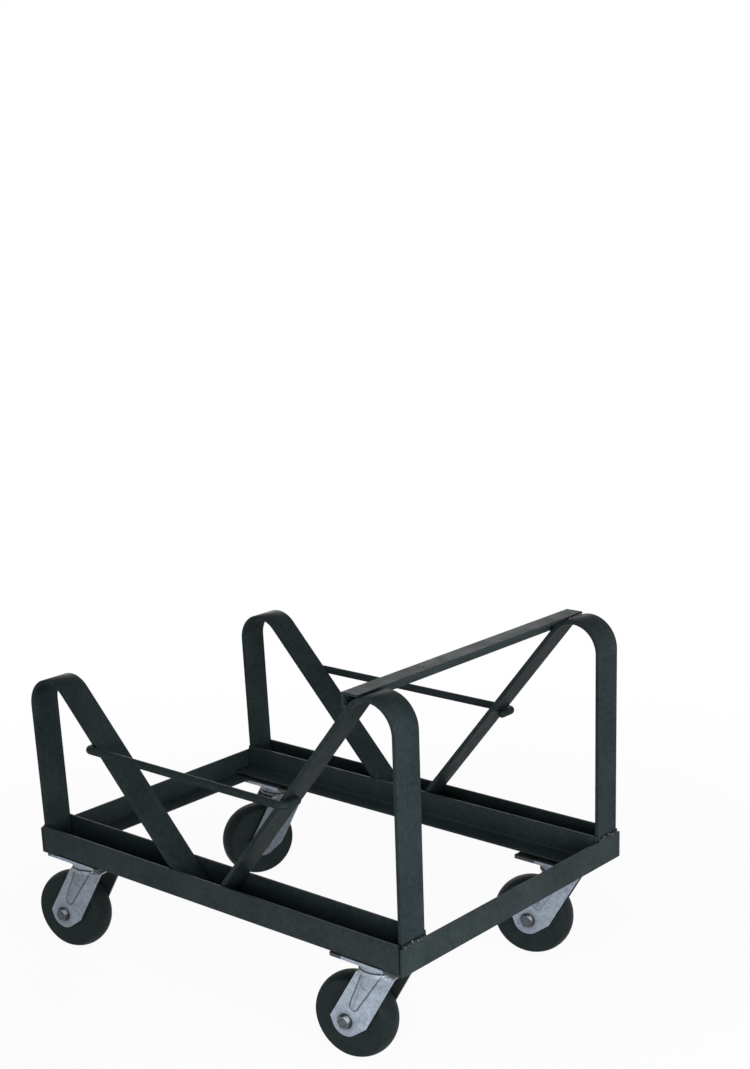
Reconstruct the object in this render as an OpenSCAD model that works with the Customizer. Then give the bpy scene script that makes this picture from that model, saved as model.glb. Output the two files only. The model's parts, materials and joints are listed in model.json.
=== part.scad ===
// Stacking chair trolley: a base of angle iron on four swivel casters, with a V cradle of
// bent flat bars at the front and at the rear. X runs along the end rails, Y runs from front
// to rear, Z is up and the floor is at zero.

/* [Base] */
// Width of the base, along the end rails
base_w = 665; // [560:1:900]
// Depth of the base, along the side rails
base_d = 465; // [380:1:700]
// Height of the upright leg of the angle iron
angle_h = 36.5; // [25:0.5:60]
// Thickness of the angle iron
angle_t = 3.2; // [2:0.1:5]
// Width of the side rails' flat leg
side_leg_w = 32; // [20:0.5:60]
// Width of the inner end rails' flat leg
inner_leg_w = 33; // [15:0.5:60]
// Side play of a hoop's foot in the slot between the end rails
slot_play = 1.4; // [0.2:0.1:4]

/* [Hoops] */
// Width of the flat bar
bar_w = 43; // [25:0.5:60]
// Thickness of the flat bar
bar_t = 6; // [4:0.1:10]
// Height of the right hoops above their feet
right_hoop_h = 331.5; // [240:0.5:460]
// Height of the left hoops above their feet
left_hoop_h = 253; // [200:0.5:400]
// Outside bend radius of the hoops
bend_r = 42; // [20:0.5:60]
// Outward lean of the left hoops' posts
left_lean = 1.5; // [0:0.1:4]
// Gap between the two slanted legs at their feet
v_gap = 29.5; // [4:0.5:80]
// Distance from the middle of the base to the foot of the V, towards the left
v_shift = 17.3; // [0:0.1:60]

/* [Top rail] */
// Width of the top rail's flange
top_rail_w = 25.4; // [15:0.1:40]
// Thickness of the top rail
top_rail_t = 3; // [2:0.1:5]
// Distance from the right posts' outer face to the top rail's outer corner
top_rail_inset = 80.8; // [70:0.1:110]

/* [Guard rods] */
// Diameter of the rods
rod_d = 11; // [7:0.5:14]
// Height of the rods above the hoops' feet
rod_h = 170.7; // [60:0.1:190]
// How far the rods' ends reach back under the slanted legs
rod_return = 23.5; // [16:0.5:40]
// Inside radius of the rods' bends
rod_bend_r = 1; // [0.5:0.1:1.2]

/* [Casters] */
// Height of a caster above its wheel
caster_head_h = 37; // [33:0.1:55]
// Distance from the base's left side to the left swivel axes
left_caster_inset = 61; // [58:0.5:90]
// Distance from the base's right side to the right swivel axes
right_caster_inset = 65.5; // [58:0.5:90]
// Distance from the base's ends to the swivel axes
end_caster_inset = 42; // [36:0.5:60]
// Distance from the swivel axis to the axle
trail = 42.4; // [30:0.1:60]
// Angle at which the front left caster stands
front_left_angle = 9; // [-180:0.5:180]
// Angle at which the front right caster stands
front_right_angle = 7; // [-180:0.5:180]
// Angle at which the rear left caster stands
rear_left_angle = 66; // [-180:0.5:180]
// Angle at which the rear right caster stands
rear_right_angle = 17; // [-180:0.5:180]

/* [Top plates] */
// Length of a caster's top plate
plate_l = 108; // [90:0.5:112]
// Width of a caster's top plate
plate_w = 81; // [72:0.5:83]
// Thickness of a caster's top plate
plate_t = 4.6; // [3.4:0.1:6]
// Corner radius of a top plate
plate_corner_r = 3; // [1:0.5:8]
// How far the packing strips stand back from the top plates' edges
packer_inset = 6.5; // [1:0.5:10]

/* [Swivel bearing] */
// Diameter of the kingpin
kingpin_d = 10; // [7:0.1:12]
// Diameter of the kingpin's head
kingpin_head_d = 17; // [14:0.5:24]
// Height of the kingpin's head
kingpin_head_h = 3; // [2:0.1:5]
// Diameter of the upper race's boss, at the plate
race_boss_d = 68; // [62:0.5:72]
// Height of the upper race's boss
race_boss_h = 8.5; // [4:0.1:14]
// Diameter of the dust skirt round the upper balls
skirt_d = 61; // [57:0.5:62]
// Thickness of the dust skirt
skirt_t = 3; // [2:0.1:4]
// Gap between the dust skirt and the fork
skirt_gap = 1.4; // [0.8:0.1:1.8]
// Diameter of the upper balls
ball_d = 6; // [5:0.1:7]
// How far an upper ball sinks into each of its races
ball_sink = 1; // [0.5:0.1:1.5]
// Diameter of the ring of upper balls
ball_ring_d = 38; // [36:0.5:41]
// Number of upper balls
ball_count = 16; // [6:1:16]
// Diameter of the lower race
lower_race_d = 36; // [32:0.5:40]
// Thickness of the lower race
lower_race_t = 2.5; // [2:0.1:4]
// Diameter of the lower balls
lower_ball_d = 4; // [3:0.1:4.4]
// How far a lower ball sinks into each of its races
lower_ball_sink = 0.8; // [0.4:0.1:1]
// Diameter of the ring of lower balls
lower_ball_ring_d = 26; // [24:0.5:28]
// Number of lower balls
lower_ball_count = 14; // [6:1:16]

/* [Forks] */
// Sheet thickness of a fork
fork_t = 3; // [2.5:0.1:4]
// Gap between the wheel and each leg of its fork
wheel_gap = 4.5; // [2:0.1:8]
// Outside radius of the bends between the crown and the legs
fork_bend_r = 5; // [4.2:0.1:8]
// How far the round crown stands out past the legs
crown_lip = 4.7; // [2:0.1:8]
// Reach of the crown from the swivel axis, towards the wheel
crown_back = 21; // [12:0.5:26]
// Reach of the crown from the swivel axis, away from the wheel
crown_front = 33.5; // [26:0.5:42]
// Radius of a leg's rounded end
leg_end_r = 20.5; // [16:0.1:26]
// How far the leg's back corner stands out past its rounded end
leg_back_out = 2.2; // [0.5:0.1:5]
// How far the leg's front corner stands out past its rounded end
leg_front_out = 9.7; // [6:0.1:20]
// Height of the leg's back corner above the axle
leg_back_up = 3; // [0:0.1:6]
// Drop of the leg's front corner below the axle
leg_front_down = 3.9; // [0:0.1:6]
// Place of the tip of the leg's bulge, ahead of the axle
bulge_tip_ahead = 13.5; // [8:0.1:20]
// Height of the tip of the leg's bulge above the axle
bulge_tip_up = 19; // [12:0.1:26]
// Radius of the tip of the leg's bulge
bulge_tip_r = 4; // [2:0.1:6]
// How far the tip of the bulge stands out from the leg
bulge_tip_rise = 1; // [0.4:0.1:1.8]
// Slope of the bulge's axis towards the inside of the leg
bulge_tilt = 18.7; // [16:0.1:20]
// Half of the angle at which the bulge widens
bulge_cone = 20.6; // [20:0.1:23]

/* [Wheels and axles] */
// Diameter of a wheel
wheel_d = 113; // [80:1:130]
// Width of a wheel
wheel_w = 38; // [30:0.5:44]
// Radius of the round tread, across the wheel
tread_r = 33; // [26:0.5:80]
// Diameter of a wheel's hub
hub_d = 34; // [26:0.5:40]
// Outside diameter of a wheel's bush
bush_d = 20; // [16:0.1:24]
// Outside diameter of an axle's sleeve
sleeve_d = 13; // [12:0.1:14.5]
// Diameter of an axle bolt
axle_d = 9.5; // [7:0.1:10.5]
// Width across the flats of an axle's nut and bolt head
nut_af = 16; // [13:0.1:19]
// Height of an axle's nut
nut_h = 6; // [5:0.1:10]
// Height of an axle bolt's head
bolt_head_h = 6; // [4:0.1:8]
// How far an axle bolt stands out past its nut
bolt_tip = 0.5; // [0.3:0.1:3]

/* [Clearances] */
// Radial clearance of pieces that turn on each other
run_clear = 0.05; // [0.02:0.01:0.1]
// Clearance of the swivel balls in their races
ball_clear = 0.1; // [0.05:0.01:0.2]
// Radial clearance of pieces that are pressed or screwed together
fit_clear = 0.02; // [0.01:0.01:0.05]
// Clearance between a wheel's hub and its fork
hub_clear = 0.5; // [0.2:0.1:1.5]
// Gap left beside a piece that is welded on
seat_gap = 0.15; // [0.05:0.05:0.3]
// Gap between the end rails' ends and the side rails
rail_gap = 0.8; // [0.2:0.1:0.9]

/* [Hidden] */
$fn = 96;
overrun = 1;
paint = [0.16, 0.19, 0.19];
zinc = [0.66, 0.69, 0.72];
steel = [0.45, 0.47, 0.48];
rubber = [0.1, 0.11, 0.11];

FRAME_NODES = [
    "left_side_rail", "right_side_rail", "front_outer_rail", "rear_outer_rail",
    "front_inner_rail", "rear_inner_rail", "front_left_hoop", "front_right_hoop",
    "rear_left_hoop", "rear_right_hoop", "top_rail", "front_guard_rod", "rear_guard_rod",
    "plate_packers", "weld_beads"
];
CORNERS = ["front_left", "front_right", "rear_left", "rear_right"];
CASTER_PIECES = [
    "top_plate", "kingpin", "lower_race", "swivel_balls", "fork",
    "axle_bolt", "axle_nut", "axle_sleeve", "wheel_bush", "wheel"
];

// Which side each corner is on, and the angle at which its caster stands
corner_x = [-1, 1, -1, 1];
corner_y = [-1, -1, 1, 1];
caster_angle = [front_left_angle, front_right_angle, rear_left_angle, rear_right_angle];

// Casters, from the floor up
axle_z = wheel_d / 2;
caster_h = wheel_d + caster_head_h;
plate_z = caster_h - plate_t;
race_gap = ball_d - 2 * ball_sink;
crown_top = plate_z - race_boss_h - race_gap;
crown_z = crown_top - fork_t;
lower_race_top = crown_z - lower_ball_d + 2 * lower_ball_sink;
lower_race_z = lower_race_top - lower_race_t;
kingpin_z = lower_race_z - kingpin_head_h;
left_caster_x = left_caster_inset - base_w / 2;
right_caster_x = base_w / 2 - right_caster_inset;
caster_y = base_d / 2 - end_caster_inset;
caster_x = [left_caster_x, right_caster_x, left_caster_x, right_caster_x];

// Base, from the top plates up
base_z = caster_h;
outer_rail_z = base_z + angle_t;
foot_z = outer_rail_z + angle_t;
rail_fillet = angle_t;
slot_w = bar_w + slot_play;
outer_leg_w = angle_t + slot_w + angle_t;
side_rail_top = base_z + angle_h;

// Hoops: the posts stand inside the side rails and the bars lie against the inner rails
post_x = base_w / 2 - angle_t;
end_rail_l = 2 * (post_x - rail_gap);
bar_y = base_d / 2 - angle_t - slot_w;
bar_out = bar_y + bar_w;
right_foot = v_gap / 2 - v_shift;
left_foot = v_gap / 2 + v_shift;
right_centre = bend_centre(right_hoop_h, 0);
left_centre = bend_centre(left_hoop_h, left_lean);
right_slope = slope_to(right_foot, right_centre);
left_slope = slope_to(left_foot, left_centre);

// Top rail: its flange's edge rests on the bends and its leg on the slanted legs
top_rail_x = post_x - top_rail_inset;
flange_z = right_hoop_top(top_rail_x + top_rail_w) + seat_gap;
top_leg_z = right_hoop_top(top_rail_x + top_rail_t) + seat_gap;

// Guard rods: the run lies in front of the bars and the ends lie under the slanted legs
rod_r = rod_d / 2;
rod_z = foot_z + rod_h;
rod_bend = rod_r + rod_bend_r;
rod_y = bar_out + seat_gap + rod_r;
rod_end_y = bar_out - rod_return + rod_r;
rod_right_x = rod_x(right_foot, right_slope);
rod_left_x = -rod_x(left_foot, left_slope);

// Wheel: the radius at which its flat sides meet the round tread
side_r = wheel_d / 2 - tread_r + sqrt(tread_r ^ 2 - (wheel_w / 2) ^ 2);

// Fork
fork_in = wheel_w / 2 + wheel_gap;
fork_out = fork_in + fork_t;
crown_r = fork_out + crown_lip;
axle_at = [-trail, axle_z];
leg_back = axle_at + [-leg_end_r - leg_back_out, leg_back_up];
leg_front = axle_at + [leg_end_r + leg_front_out, -leg_front_down];
bulge_tip = axle_at + [bulge_tip_ahead, bulge_tip_up];
bulge_lean = atan2(-bulge_tip.x, crown_z - bulge_tip.y);

// The base stands off the origin so that the origin is under the middle of the whole trolley
wheel_spans = [for (c = [0:3]) wheel_span(c)];
base_x = -(min(-base_w / 2, min([for (s = wheel_spans) s[0]]))
    + max(base_w / 2, max([for (s = wheel_spans) s[1]]))) / 2;

// Place of a post's foot: the post leans against the top edge of its side rail
function post_foot(lean) = post_x - (side_rail_top - foot_z) * tan(lean);

// Centre of the bend at the top of a post
function bend_centre(hoop_h, lean) =
    let (post_l = (hoop_h - bend_r * (1 + sin(lean))) / cos(lean))
    [post_foot(lean) + post_l * sin(lean) - bend_r * cos(lean), foot_z + hoop_h - bend_r];

// Slope of the line from a foot that lies on the outside of a bend
function slope_to(foot, centre) =
    let (to = centre - [foot, foot_z])
    atan2(to.y, to.x) + asin(bend_r / norm(to));

// Height of the right hoops' outer surface, up to the top of the bend
function right_hoop_top(x) =
    x < right_centre.x - bend_r * sin(right_slope)
        ? foot_z + (x - right_foot) * tan(right_slope)
        : right_centre.y + sqrt(bend_r ^ 2 - min(x - right_centre.x, 0) ^ 2);

// Place of a guard rod's end, against the underside of a slanted leg
function rod_x(foot, slope) =
    foot + rod_h / tan(slope) + (bar_t + seat_gap + rod_r) / sin(slope);

// Least and greatest X of a wheel, from the middle of the base
function wheel_span(c) =
    let (
        x = caster_x[c] - trail * cos(caster_angle[c]),
        along = abs(cos(caster_angle[c])),
        across = abs(sin(caster_angle[c])),
        reach = tread_r * across < wheel_w / 2
            ? (wheel_d / 2 - tread_r) * along + tread_r
            : side_r * along + wheel_w / 2 * across
    )
    [x - reach, x + reach];

// Point where a line from p touches a circle, on its chosen side
function touch_point(p, centre, r, side) =
    let (
        to = p - centre,
        turn = atan2(to.y, to.x) + side * acos(r / norm(to))
    )
    centre + r * [cos(turn), sin(turn)];

// Placing
module on_base() {
    translate([base_x, 0, 0]) children();
}

module to_left() {
    mirror([1, 0, 0]) children();
}

module to_rear() {
    mirror([0, 1, 0]) children();
}

module at_plate(c) {
    on_base() translate([caster_x[c], corner_y[c] * caster_y, 0]) children();
}

module at_caster(c) {
    at_plate(c) rotate(caster_angle[c]) children();
}

module at_axle() {
    translate([-trail, 0, axle_z]) rotate([90, 0, 0]) children();
}

// Shapes that repeat
module angle_profile(flat_w, upright_h, t, fillet) {
    square([flat_w, t]);
    square([t, upright_h]);
    if (fillet > 0) {
        translate([t, t]) {
            difference() {
                square(fillet);
                translate([fillet, fillet]) circle(fillet);
            }
        }
    }
}

module along_x(length) {
    rotate([90, 0, 90]) linear_extrude(length, center = true) children();
}

module along_y(length) {
    rotate([90, 0, 0]) linear_extrude(length, center = true) children();
}

module rounded_rectangle(l, w, r) {
    square([l - 2 * r, w], center = true);
    square([l, w - 2 * r], center = true);
    for (x = [-1, 1], y = [-1, 1]) {
        translate([x * (l / 2 - r), y * (w / 2 - r)]) circle(r);
    }
}

module arch(w, h, r) {
    translate([-w / 2, 0]) square([w, h - r]);
    translate([r - w / 2, 0]) square([w - 2 * r, h]);
    for (x = [-1, 1]) {
        translate([x * (w / 2 - r), h - r]) circle(r);
    }
}

module hexagon(af, h) {
    cylinder(h = h, d = af / cos(30), $fn = 6);
}

module ball_ring(ring_d, d, count, z) {
    for (i = [0:count - 1]) {
        rotate(i * 360 / count) translate([ring_d / 2, 0, z]) sphere(d = d, $fn = 24);
    }
}

module ball_groove(ring_d, d, z) {
    translate([0, 0, z]) rotate_extrude() translate([ring_d / 2, 0]) circle(d / 2 + ball_clear);
}

// Base frame
module side_rail() {
    color(paint) translate([-base_w / 2, 0, base_z])
        along_y(base_d) angle_profile(side_leg_w, angle_h, angle_t, 0);
}

module outer_rail() {
    color(paint) translate([0, -base_d / 2, outer_rail_z])
        along_x(end_rail_l) angle_profile(outer_leg_w, angle_h, angle_t, 0);
}

module inner_rail() {
    color(paint) translate([0, -bar_y, foot_z])
        along_x(end_rail_l) angle_profile(inner_leg_w, angle_h, angle_t, rail_fillet);
}

// A hoop at the front right: a post, a bend and a slanted leg, both cut flat at the foot
module hoop(foot, centre, slope, lean) {
    color(paint) translate([0, -bar_y - bar_w / 2, 0]) along_y(bar_w) difference() {
        hoop_outline(foot, centre, slope, lean, 0, 0);
        hoop_outline(foot, centre, slope, lean, bar_t, overrun);
    }
}

// Outline of a hoop, set in from its outer faces and drawn down past its foot
module hoop_outline(foot, centre, slope, lean, inset, drop) {
    r = bend_r - inset;
    translate(centre) circle(r);
    polygon([
        [post_foot(lean) - inset / cos(lean) - drop * tan(lean), foot_z - drop],
        centre + r * [cos(lean), -sin(lean)],
        centre + r * [-sin(slope), cos(slope)],
        [foot + inset / sin(slope) - drop / tan(slope), foot_z - drop]
    ]);
}

module right_hoop() {
    hoop(right_foot, right_centre, right_slope, 0);
}

module left_hoop() {
    to_left() hoop(left_foot, left_centre, left_slope, left_lean);
}

module top_rail() {
    color(paint) along_y(2 * bar_out) {
        translate([top_rail_x, flange_z]) square([top_rail_w, top_rail_t]);
        translate([top_rail_x, top_leg_z]) square([top_rail_t, flange_z + top_rail_t - top_leg_z]);
    }
}

// A guard rod at the front, with both ends bent back and rounded
module guard_rod() {
    color(paint) translate([0, 0, rod_z]) {
        translate([rod_left_x + rod_bend, -rod_y, 0]) rotate([0, 90, 0])
            cylinder(h = rod_right_x - rod_left_x - 2 * rod_bend, r = rod_r);
        rod_end(rod_right_x);
        translate([rod_left_x, 0, 0]) to_left() rod_end(0);
    }
}

module rod_end(x) {
    translate([x - rod_bend, rod_bend - rod_y, 0]) rotate(-90)
        rotate_extrude(angle = 90) translate([rod_bend, 0]) circle(rod_r);
    translate([x, rod_bend - rod_y, 0]) rotate([-90, 0, 0])
        cylinder(h = rod_y - rod_bend - rod_end_y, r = rod_r);
    translate([x, -rod_end_y, 0]) sphere(rod_r);
}

// Strips that fill the space between the top plates and the end rails, beside the side rails
module plate_packers() {
    packer_in = base_d / 2 - outer_leg_w;
    packer_w = caster_y + plate_w / 2 - packer_inset - packer_in;
    packer_end = base_w / 2 - side_leg_w - seat_gap;
    color(paint) for (c = [0:3]) {
        packer_l = packer_end - abs(caster_x[c]) + plate_l / 2 - packer_inset;
        on_base() translate([
            corner_x[c] * (packer_end - packer_l / 2),
            corner_y[c] * (packer_in + packer_w / 2),
            base_z
        ]) linear_extrude(angle_t) square([packer_l, packer_w], center = true);
    }
}

// Beads beside the posts' feet, under the top rail's leg and at the top plates' outer ends
module weld_beads() {
    color(paint) {
        on_base() for (c = [0:3]) {
            lean = corner_x[c] < 0 ? left_lean : 0;
            translate([0, corner_y[c] * (bar_y + bar_w / 2), 0]) along_y(bar_w) polygon([
                [corner_x[c] * post_x, side_rail_top],
                [corner_x[c] * base_w / 2, side_rail_top],
                [corner_x[c] * (post_x + angle_t * tan(lean)), side_rail_top + angle_t]
            ]);
        }
        on_base() for (y = [-1, 1]) translate([0, y * (bar_y + bar_w / 2), 0])
            along_y(bar_w) polygon([
                [top_rail_x, top_leg_z],
                [top_rail_x, right_hoop_top(top_rail_x)],
                [top_rail_x + top_rail_t, right_hoop_top(top_rail_x + top_rail_t)],
                [top_rail_x + top_rail_t, top_leg_z]
            ]);
        on_base() for (c = [0:3]) {
            plate_end = abs(caster_x[c]) + plate_l / 2;
            translate([0, corner_y[c] * caster_y, 0]) along_y(plate_w - 2 * plate_corner_r) polygon([
                [corner_x[c] * plate_end, base_z],
                [corner_x[c] * (plate_end + angle_t), base_z],
                [corner_x[c] * plate_end, base_z - angle_t]
            ]);
        }
    }
}

// Caster, in its own frame: the swivel axis is Z and the wheel trails towards -X
module top_plate() {
    skirt_r = skirt_d / 2;
    color(zinc) difference() {
        union() {
            translate([0, 0, plate_z])
                linear_extrude(plate_t) rounded_rectangle(plate_l, plate_w, plate_corner_r);
            rotate_extrude() polygon([
                [0, plate_z], [race_boss_d / 2, plate_z], [skirt_r, crown_top + skirt_gap],
                [skirt_r - skirt_t, crown_top + skirt_gap], [skirt_r - skirt_t, crown_top + race_gap],
                [0, crown_top + race_gap]
            ]);
        }
        translate([0, 0, crown_top])
            cylinder(h = caster_h - crown_top + overrun, d = kingpin_d + 2 * fit_clear);
        ball_groove(ball_ring_d, ball_d, crown_top + race_gap / 2);
    }
}

module kingpin() {
    color(zinc) {
        translate([0, 0, kingpin_z]) cylinder(h = caster_h - kingpin_z, d = kingpin_d);
        translate([0, 0, kingpin_z]) cylinder(h = kingpin_head_h, d = kingpin_head_d);
    }
}

module lower_race() {
    color(zinc) difference() {
        translate([0, 0, lower_race_z]) cylinder(h = lower_race_t, d = lower_race_d);
        translate([0, 0, lower_race_z - overrun])
            cylinder(h = lower_race_t + 2 * overrun, d = kingpin_d + 2 * fit_clear);
        ball_groove(lower_ball_ring_d, lower_ball_d, (crown_z + lower_race_top) / 2);
    }
}

module swivel_balls() {
    color(steel) {
        ball_ring(ball_ring_d, ball_d, ball_count, crown_top + race_gap / 2);
        ball_ring(lower_ball_ring_d, lower_ball_d, lower_ball_count, (crown_z + lower_race_top) / 2);
    }
}

module leg_profile() {
    polygon([
        [-crown_back, crown_top],
        leg_back,
        touch_point(leg_back, axle_at, leg_end_r, 1),
        touch_point(leg_front, axle_at, leg_end_r, -1),
        leg_front,
        [crown_front, crown_top]
    ]);
    translate(axle_at) circle(leg_end_r);
}

// The tapering bulge on the outside of the leg at +Y, from its rounded tip up to the crown
module leg_bulge() {
    bulge_l = crown_top;
    intersection() {
        translate([bulge_tip.x, fork_out + bulge_tip_rise - bulge_tip_r, bulge_tip.y]) {
            sphere(bulge_tip_r);
            rotate([0, bulge_lean, 0]) rotate([bulge_tilt, 0, 0])
                cylinder(h = bulge_l, r1 = bulge_tip_r, r2 = bulge_tip_r + bulge_l * tan(bulge_cone));
        }
        translate([bulge_tip.x - bulge_l / 2, fork_out - fork_t / 2, 0])
            cube([bulge_l, fork_t / 2 + crown_lip, crown_z + fork_t / 2]);
    }
}

module fork() {
    color(zinc) difference() {
        union() {
            intersection() {
                along_y(2 * crown_r) leg_profile();
                along_x(2 * caster_h) difference() {
                    arch(2 * fork_out, crown_top, fork_bend_r);
                    arch(2 * fork_in, crown_z, fork_bend_r - fork_t);
                }
            }
            translate([0, 0, crown_z]) cylinder(h = fork_t, r = crown_r);
            leg_bulge();
            to_rear() leg_bulge();
        }
        translate([0, 0, crown_z - overrun])
            cylinder(h = fork_t + 2 * overrun, d = kingpin_d + 2 * run_clear);
        ball_groove(ball_ring_d, ball_d, crown_top + race_gap / 2);
        ball_groove(lower_ball_ring_d, lower_ball_d, (crown_z + lower_race_top) / 2);
        at_axle() cylinder(h = 2 * crown_r + overrun, d = axle_d + 2 * fit_clear, center = true);
    }
}

module axle_bolt() {
    color(steel) at_axle() {
        translate([0, 0, -fork_out - bolt_head_h]) hexagon(nut_af, bolt_head_h);
        translate([0, 0, -fork_out]) cylinder(h = 2 * fork_out + nut_h + bolt_tip, d = axle_d);
    }
}

module axle_nut() {
    color(steel) at_axle() difference() {
        translate([0, 0, fork_out]) hexagon(nut_af, nut_h);
        translate([0, 0, fork_out - overrun])
            cylinder(h = nut_h + 2 * overrun, d = axle_d + 2 * fit_clear);
    }
}

module axle_sleeve() {
    color(steel) at_axle() difference() {
        cylinder(h = 2 * fork_in, d = sleeve_d, center = true);
        cylinder(h = 2 * fork_in + overrun, d = axle_d + 2 * fit_clear, center = true);
    }
}

module wheel_bush() {
    color(steel) at_axle() difference() {
        cylinder(h = 2 * (fork_in - hub_clear), d = bush_d, center = true);
        cylinder(h = 2 * fork_in, d = sleeve_d + 2 * run_clear, center = true);
    }
}

module wheel_profile() {
    bore_r = bush_d / 2 + fit_clear;
    hub_w = 2 * (fork_in - hub_clear);
    difference() {
        union() {
            translate([0, -hub_w / 2]) square([hub_d / 2, hub_w]);
            translate([0, -wheel_w / 2]) square([side_r, wheel_w]);
            intersection() {
                translate([wheel_d / 2 - tread_r, 0]) circle(tread_r);
                translate([0, -wheel_w / 2]) square([wheel_d, wheel_w]);
            }
        }
        translate([0, -hub_w]) square([bore_r, 2 * hub_w]);
    }
}

module wheel() {
    color(rubber) at_axle() rotate_extrude() wheel_profile();
}

on_base() side_rail();  // left_side_rail
on_base() to_left() side_rail();  // right_side_rail
on_base() outer_rail();  // front_outer_rail
on_base() to_rear() outer_rail();  // rear_outer_rail
on_base() inner_rail();  // front_inner_rail
on_base() to_rear() inner_rail();  // rear_inner_rail
on_base() left_hoop();  // front_left_hoop
on_base() right_hoop();  // front_right_hoop
on_base() to_rear() left_hoop();  // rear_left_hoop
on_base() to_rear() right_hoop();  // rear_right_hoop
on_base() top_rail();
on_base() guard_rod();  // front_guard_rod
on_base() to_rear() guard_rod();  // rear_guard_rod
plate_packers();
weld_beads();

for (c = [0:3]) {
    at_plate(c) top_plate();
    at_plate(c) kingpin();
    at_plate(c) lower_race();
    at_caster(c) swivel_balls();
    at_caster(c) fork();
    at_caster(c) axle_bolt();
    at_caster(c) axle_nut();
    at_caster(c) axle_sleeve();
    at_caster(c) wheel_bush();
    at_caster(c) wheel();
}
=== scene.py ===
import json
import math
import random
from collections import namedtuple

import bmesh
import bpy
from mathutils import Matrix, Vector

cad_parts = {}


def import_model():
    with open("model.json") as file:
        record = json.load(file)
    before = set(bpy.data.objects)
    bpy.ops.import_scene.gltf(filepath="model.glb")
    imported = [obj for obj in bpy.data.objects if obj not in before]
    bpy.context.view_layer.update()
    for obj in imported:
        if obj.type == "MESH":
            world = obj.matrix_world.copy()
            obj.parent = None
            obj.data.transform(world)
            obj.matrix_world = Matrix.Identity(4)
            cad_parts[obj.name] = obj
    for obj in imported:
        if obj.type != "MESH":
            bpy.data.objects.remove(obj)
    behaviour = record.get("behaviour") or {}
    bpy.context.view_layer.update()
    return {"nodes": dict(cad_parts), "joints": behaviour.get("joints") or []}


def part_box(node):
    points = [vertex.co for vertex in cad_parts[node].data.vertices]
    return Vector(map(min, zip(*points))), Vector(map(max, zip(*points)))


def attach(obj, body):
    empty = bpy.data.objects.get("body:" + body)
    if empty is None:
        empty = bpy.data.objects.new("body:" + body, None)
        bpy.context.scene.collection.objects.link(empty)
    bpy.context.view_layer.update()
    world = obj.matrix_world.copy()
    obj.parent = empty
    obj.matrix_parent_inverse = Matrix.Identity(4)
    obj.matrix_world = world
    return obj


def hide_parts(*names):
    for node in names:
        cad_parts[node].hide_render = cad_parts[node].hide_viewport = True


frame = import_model()
nodes = frame["nodes"]
joints = {j["name"]: j for j in frame["joints"]}
CORNERS = ("front_left", "front_right", "rear_left", "rear_right")
X, Y, Z = Vector((1, 0, 0)), Vector((0, 1, 0)), Vector((0, 0, 1))


def rgb(r, g, b):
    return (r, g, b, 1.0)


# All lengths are in metres. First, where the solids are that the finishes and the weld beads follow
END_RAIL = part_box("front_outer_rail")
BASE_X = (END_RAIL[0].x + END_RAIL[1].x) / 2
RAIL_END = END_RAIL[1].x - BASE_X
SIDE_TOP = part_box("right_side_rail")[1].z
RAIL_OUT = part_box("right_side_rail")[1].x - BASE_X
POST_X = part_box("front_right_hoop")[1].x - BASE_X
BAR_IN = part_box("rear_right_hoop")[0].y
BAR_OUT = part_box("rear_right_hoop")[1].y
LEFT_LEAN = math.radians(1.5)
RIGHT_SLOPE, LEFT_SLOPE = math.radians(50.85), math.radians(46.27)
TOP_RAIL_T = 0.003
FORK_T = 0.003

# Noise: features per metre, octaves and roughness, and the range of it that counts
Noise = namedtuple("Noise", "scale detail rough low high stretch swirl", defaults=(0.3, 0.7, None, 0.0))

# In the finishes below, a FADE is the pair of lengths between which something comes or goes, a BUMP is a
# depth and its strength, and a SHARE is how much of a colour shows

# Edges and creases: rays, and how far the normal turns or the open view narrows
EDGE_RAYS, EDGE_TURN = 4, (0.985, 0.8)
CREASE_RAYS, CREASE_VIEW = 8, (0.96, 0.55)

# Paint: dark, light and worn tones, the worn one also a painted highlight on edges; then painted shade in
# corners and on undersides, seams, and bright flecks as painted glints
PAINT_TONES = (rgb(0.0072, 0.0126, 0.0138), rgb(0.0255, 0.0345, 0.037), rgb(0.06, 0.07, 0.073))
# The hoops' tones are a little darker than the rails', as painted shade
HOOP_SHADED_TONES = (rgb(0.007, 0.0124, 0.0136), rgb(0.0249, 0.0338, 0.0362), rgb(0.05, 0.058, 0.061))
BEAD_TONES = (rgb(0.003, 0.0043, 0.0046), rgb(0.007, 0.0096, 0.0102), rgb(0.012, 0.015, 0.016))
PAINT_CORNER_SHADE, UNDERSIDE_SHADE = rgb(0.003, 0.004, 0.004), rgb(0.001, 0.0022, 0.0025)
SEAM_BLACK, GLINT_TONE = rgb(0.001, 0.0015, 0.0015), rgb(0.5, 0.53, 0.55)
PAINT_CLOUDS = Noise(14.0, 4.0, 0.6)
PAINT_MOTTLE = Noise(170.0, 5.0, 0.75)
PAINT_CHIPS = Noise(260.0, 4.0, 0.65, 0.5, 0.64)
PAINT_SPECKS = Noise(900.0, 2.0, 0.5, 0.69, 0.75)
PAINT_SMUDGES = Noise(38.0, 5.0, 0.6, stretch=(1.0, 1.0, 0.45))
PAINT_PEEL = Noise(620.0, 2.0, 0.45)
PAINT_WAVES = Noise(70.0, 2.0, 0.5)
GLINT_FLECKS = Noise(330.0, 3.0, 0.6, 0.61, 0.66)
CLOUD_SHARE, MOTTLE_SHARE = 0.35, 0.65
PAINT_EDGE, PAINT_CORNER = 0.0016, 0.004
SEAM_FADE, SEAM_SHARE = (0.0016, 0.0005), 0.93
UNDER_FROM, UNDER_TO = -0.15, -0.5
PAINT_GLOSS, HOOP_GLOSS, BEAD_GLOSS = 0.07, 0.03, 0.2
PAINT_ROUGH, BEAD_ROUGH, SMUDGE_ROUGH = 0.5, 0.4, (-0.06, 0.08)
PEEL_DEPTH, PAINT_PEELED, BEAD_PEELED = 0.0004, 0.16, 0.3
WAVE_BUMP = (0.002, 0.05)
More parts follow.
